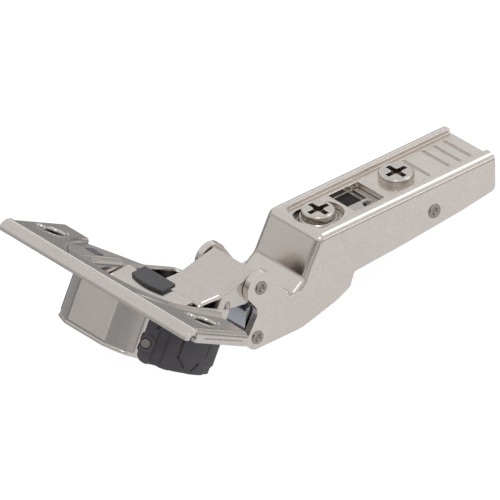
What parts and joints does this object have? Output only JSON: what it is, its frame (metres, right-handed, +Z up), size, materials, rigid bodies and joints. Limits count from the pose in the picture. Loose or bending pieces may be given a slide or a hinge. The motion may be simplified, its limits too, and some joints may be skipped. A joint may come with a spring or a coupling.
{
  "type": "concealed cup hinge",
  "caption": "Concealed cabinet door hinge with a drilled-in cup, screw flange, built-in damper and a slide-on arm with two adjusting screws.",
  "frame": {"origin": "middle of the seat under the adapter, where the hinge clips on its mounting plate", "axes": "+X along the arm to its rear end, +Z up through the arm's top, door shown fully open"},
  "size_m": [0.1042, 0.0564, 0.0288],
  "materials": {
    "nickel_arm": "satin",
    "nickel_cup": "satin",
    "nickel_adapter": "satin",
    "screw_steel": "bright",
    "link_steel": "bright",
    "pin_steel": "bright",
    "spring_steel": "bright",
    "dark_plastic": "matte",
    "grey_plastic": "matte"
  },
  "bodies": {
    "adapter": {"adapter": "nickel_adapter", "side_adjust_collar": "screw_steel"},
    "side_screw": {"side_adjust_screw": "screw_steel"},
    "depth_screw": {"depth_adjust_screw": "screw_steel"},
    "arm": {"arm": "nickel_arm", "arm_pin_lower": "pin_steel", "arm_rivets_upper": "pin_steel", "clip_lever_pin": "pin_steel", "clip_spring": "spring_steel"},
    "catch": {"clip_lever": "nickel_adapter"},
    "outer_link": {"outer_link": "link_steel"},
    "inner_link": {"inner_link": "link_steel"},
    "cup": {"cup": "nickel_cup", "cup_pin_bracket": "link_steel", "cup_pin_inner": "pin_steel", "cup_studs_outer": "pin_steel", "damper_cylinder": "grey_plastic", "damper_housing": "dark_plastic", "housing_rivet": "pin_steel", "damper_lever_pin": "pin_steel", "far_filler": "dark_plastic"},
    "damper_lever": {"damper_lever": "link_steel"},
    "switch": {"switch": "grey_plastic"},
    "damper_piston": {"damper_piston": "pin_steel"}
  },
  "joints": [
    {"name": "side_screw_turn", "type": "hinge", "parent": "adapter", "child": "side_screw", "pos_m": [-0.0172, 0, 0], "axis": [0, 0, 1], "range_deg": [-180, 180]},
    {"name": "depth_screw_turn", "type": "hinge", "parent": "arm", "child": "depth_screw", "pos_m": [0.0042, 0, 0], "axis": [0, 0, 1], "range_deg": [-60.1, 60.1]},
    {"name": "depth_slide", "type": "slide", "parent": "adapter", "child": "arm", "axis": [1, 0, 0], "range_m": [-0.0015, 0.0015]},
    {"name": "catch_press", "type": "hinge", "parent": "arm", "child": "catch", "pos_m": [0.0074, 0, -0.0032], "axis": [0, 1, 0], "range_deg": [-6, 0], "stiffness_Nm_per_rad": 0.05, "springref_deg": 20.05},
    {"name": "door_fold", "type": "hinge", "parent": "outer_link", "child": "cup", "pos_m": [-0.05511, 0, -0.00604], "axis": [0, 1, 0], "range_deg": [0, 94.03]},
    {"name": "outer_link_swing", "type": "hinge", "parent": "arm", "child": "outer_link", "pos_m": [-0.04, 0, -0.0016], "axis": [0, 1, 0], "range_deg": [0, 14.98]},
    {"name": "inner_link_swing", "type": "hinge", "parent": "arm", "child": "inner_link", "pos_m": [-0.04095, 0, -0.0129], "axis": [0, 1, 0], "range_deg": [-6.89, 0]},
    {"name": "damper_lever_press", "type": "hinge", "parent": "cup", "child": "damper_lever", "pos_m": [-0.06913, 0, 0.00419], "axis": [0, 1, 0], "range_deg": [0, 54.01]},
    {"name": "switch_slide", "type": "slide", "parent": "damper_lever", "child": "switch", "axis": [0, 1, 0], "range_m": [-0.0012, 0.0012]},
    {"name": "damper_piston_slide", "type": "slide", "parent": "cup", "child": "damper_piston", "axis": [-0.8965, 0, 0.4431], "range_m": [0, 0.00301]}
  ],
  "couplings": [
    {"joint": "outer_link_swing", "follows": "door_fold", "ratio": 0.15923},
    {"joint": "inner_link_swing", "follows": "door_fold", "ratio": -0.073223},
    {"joint": "damper_lever_press", "follows": "door_fold", "ratio": 0.5743},
    {"joint": "damper_piston_slide", "follows": "door_fold", "m_per_rad": 0.001828},
    {"joint": "depth_screw_turn", "follows": "depth_slide", "rad_per_m": 698.13}
  ]
}
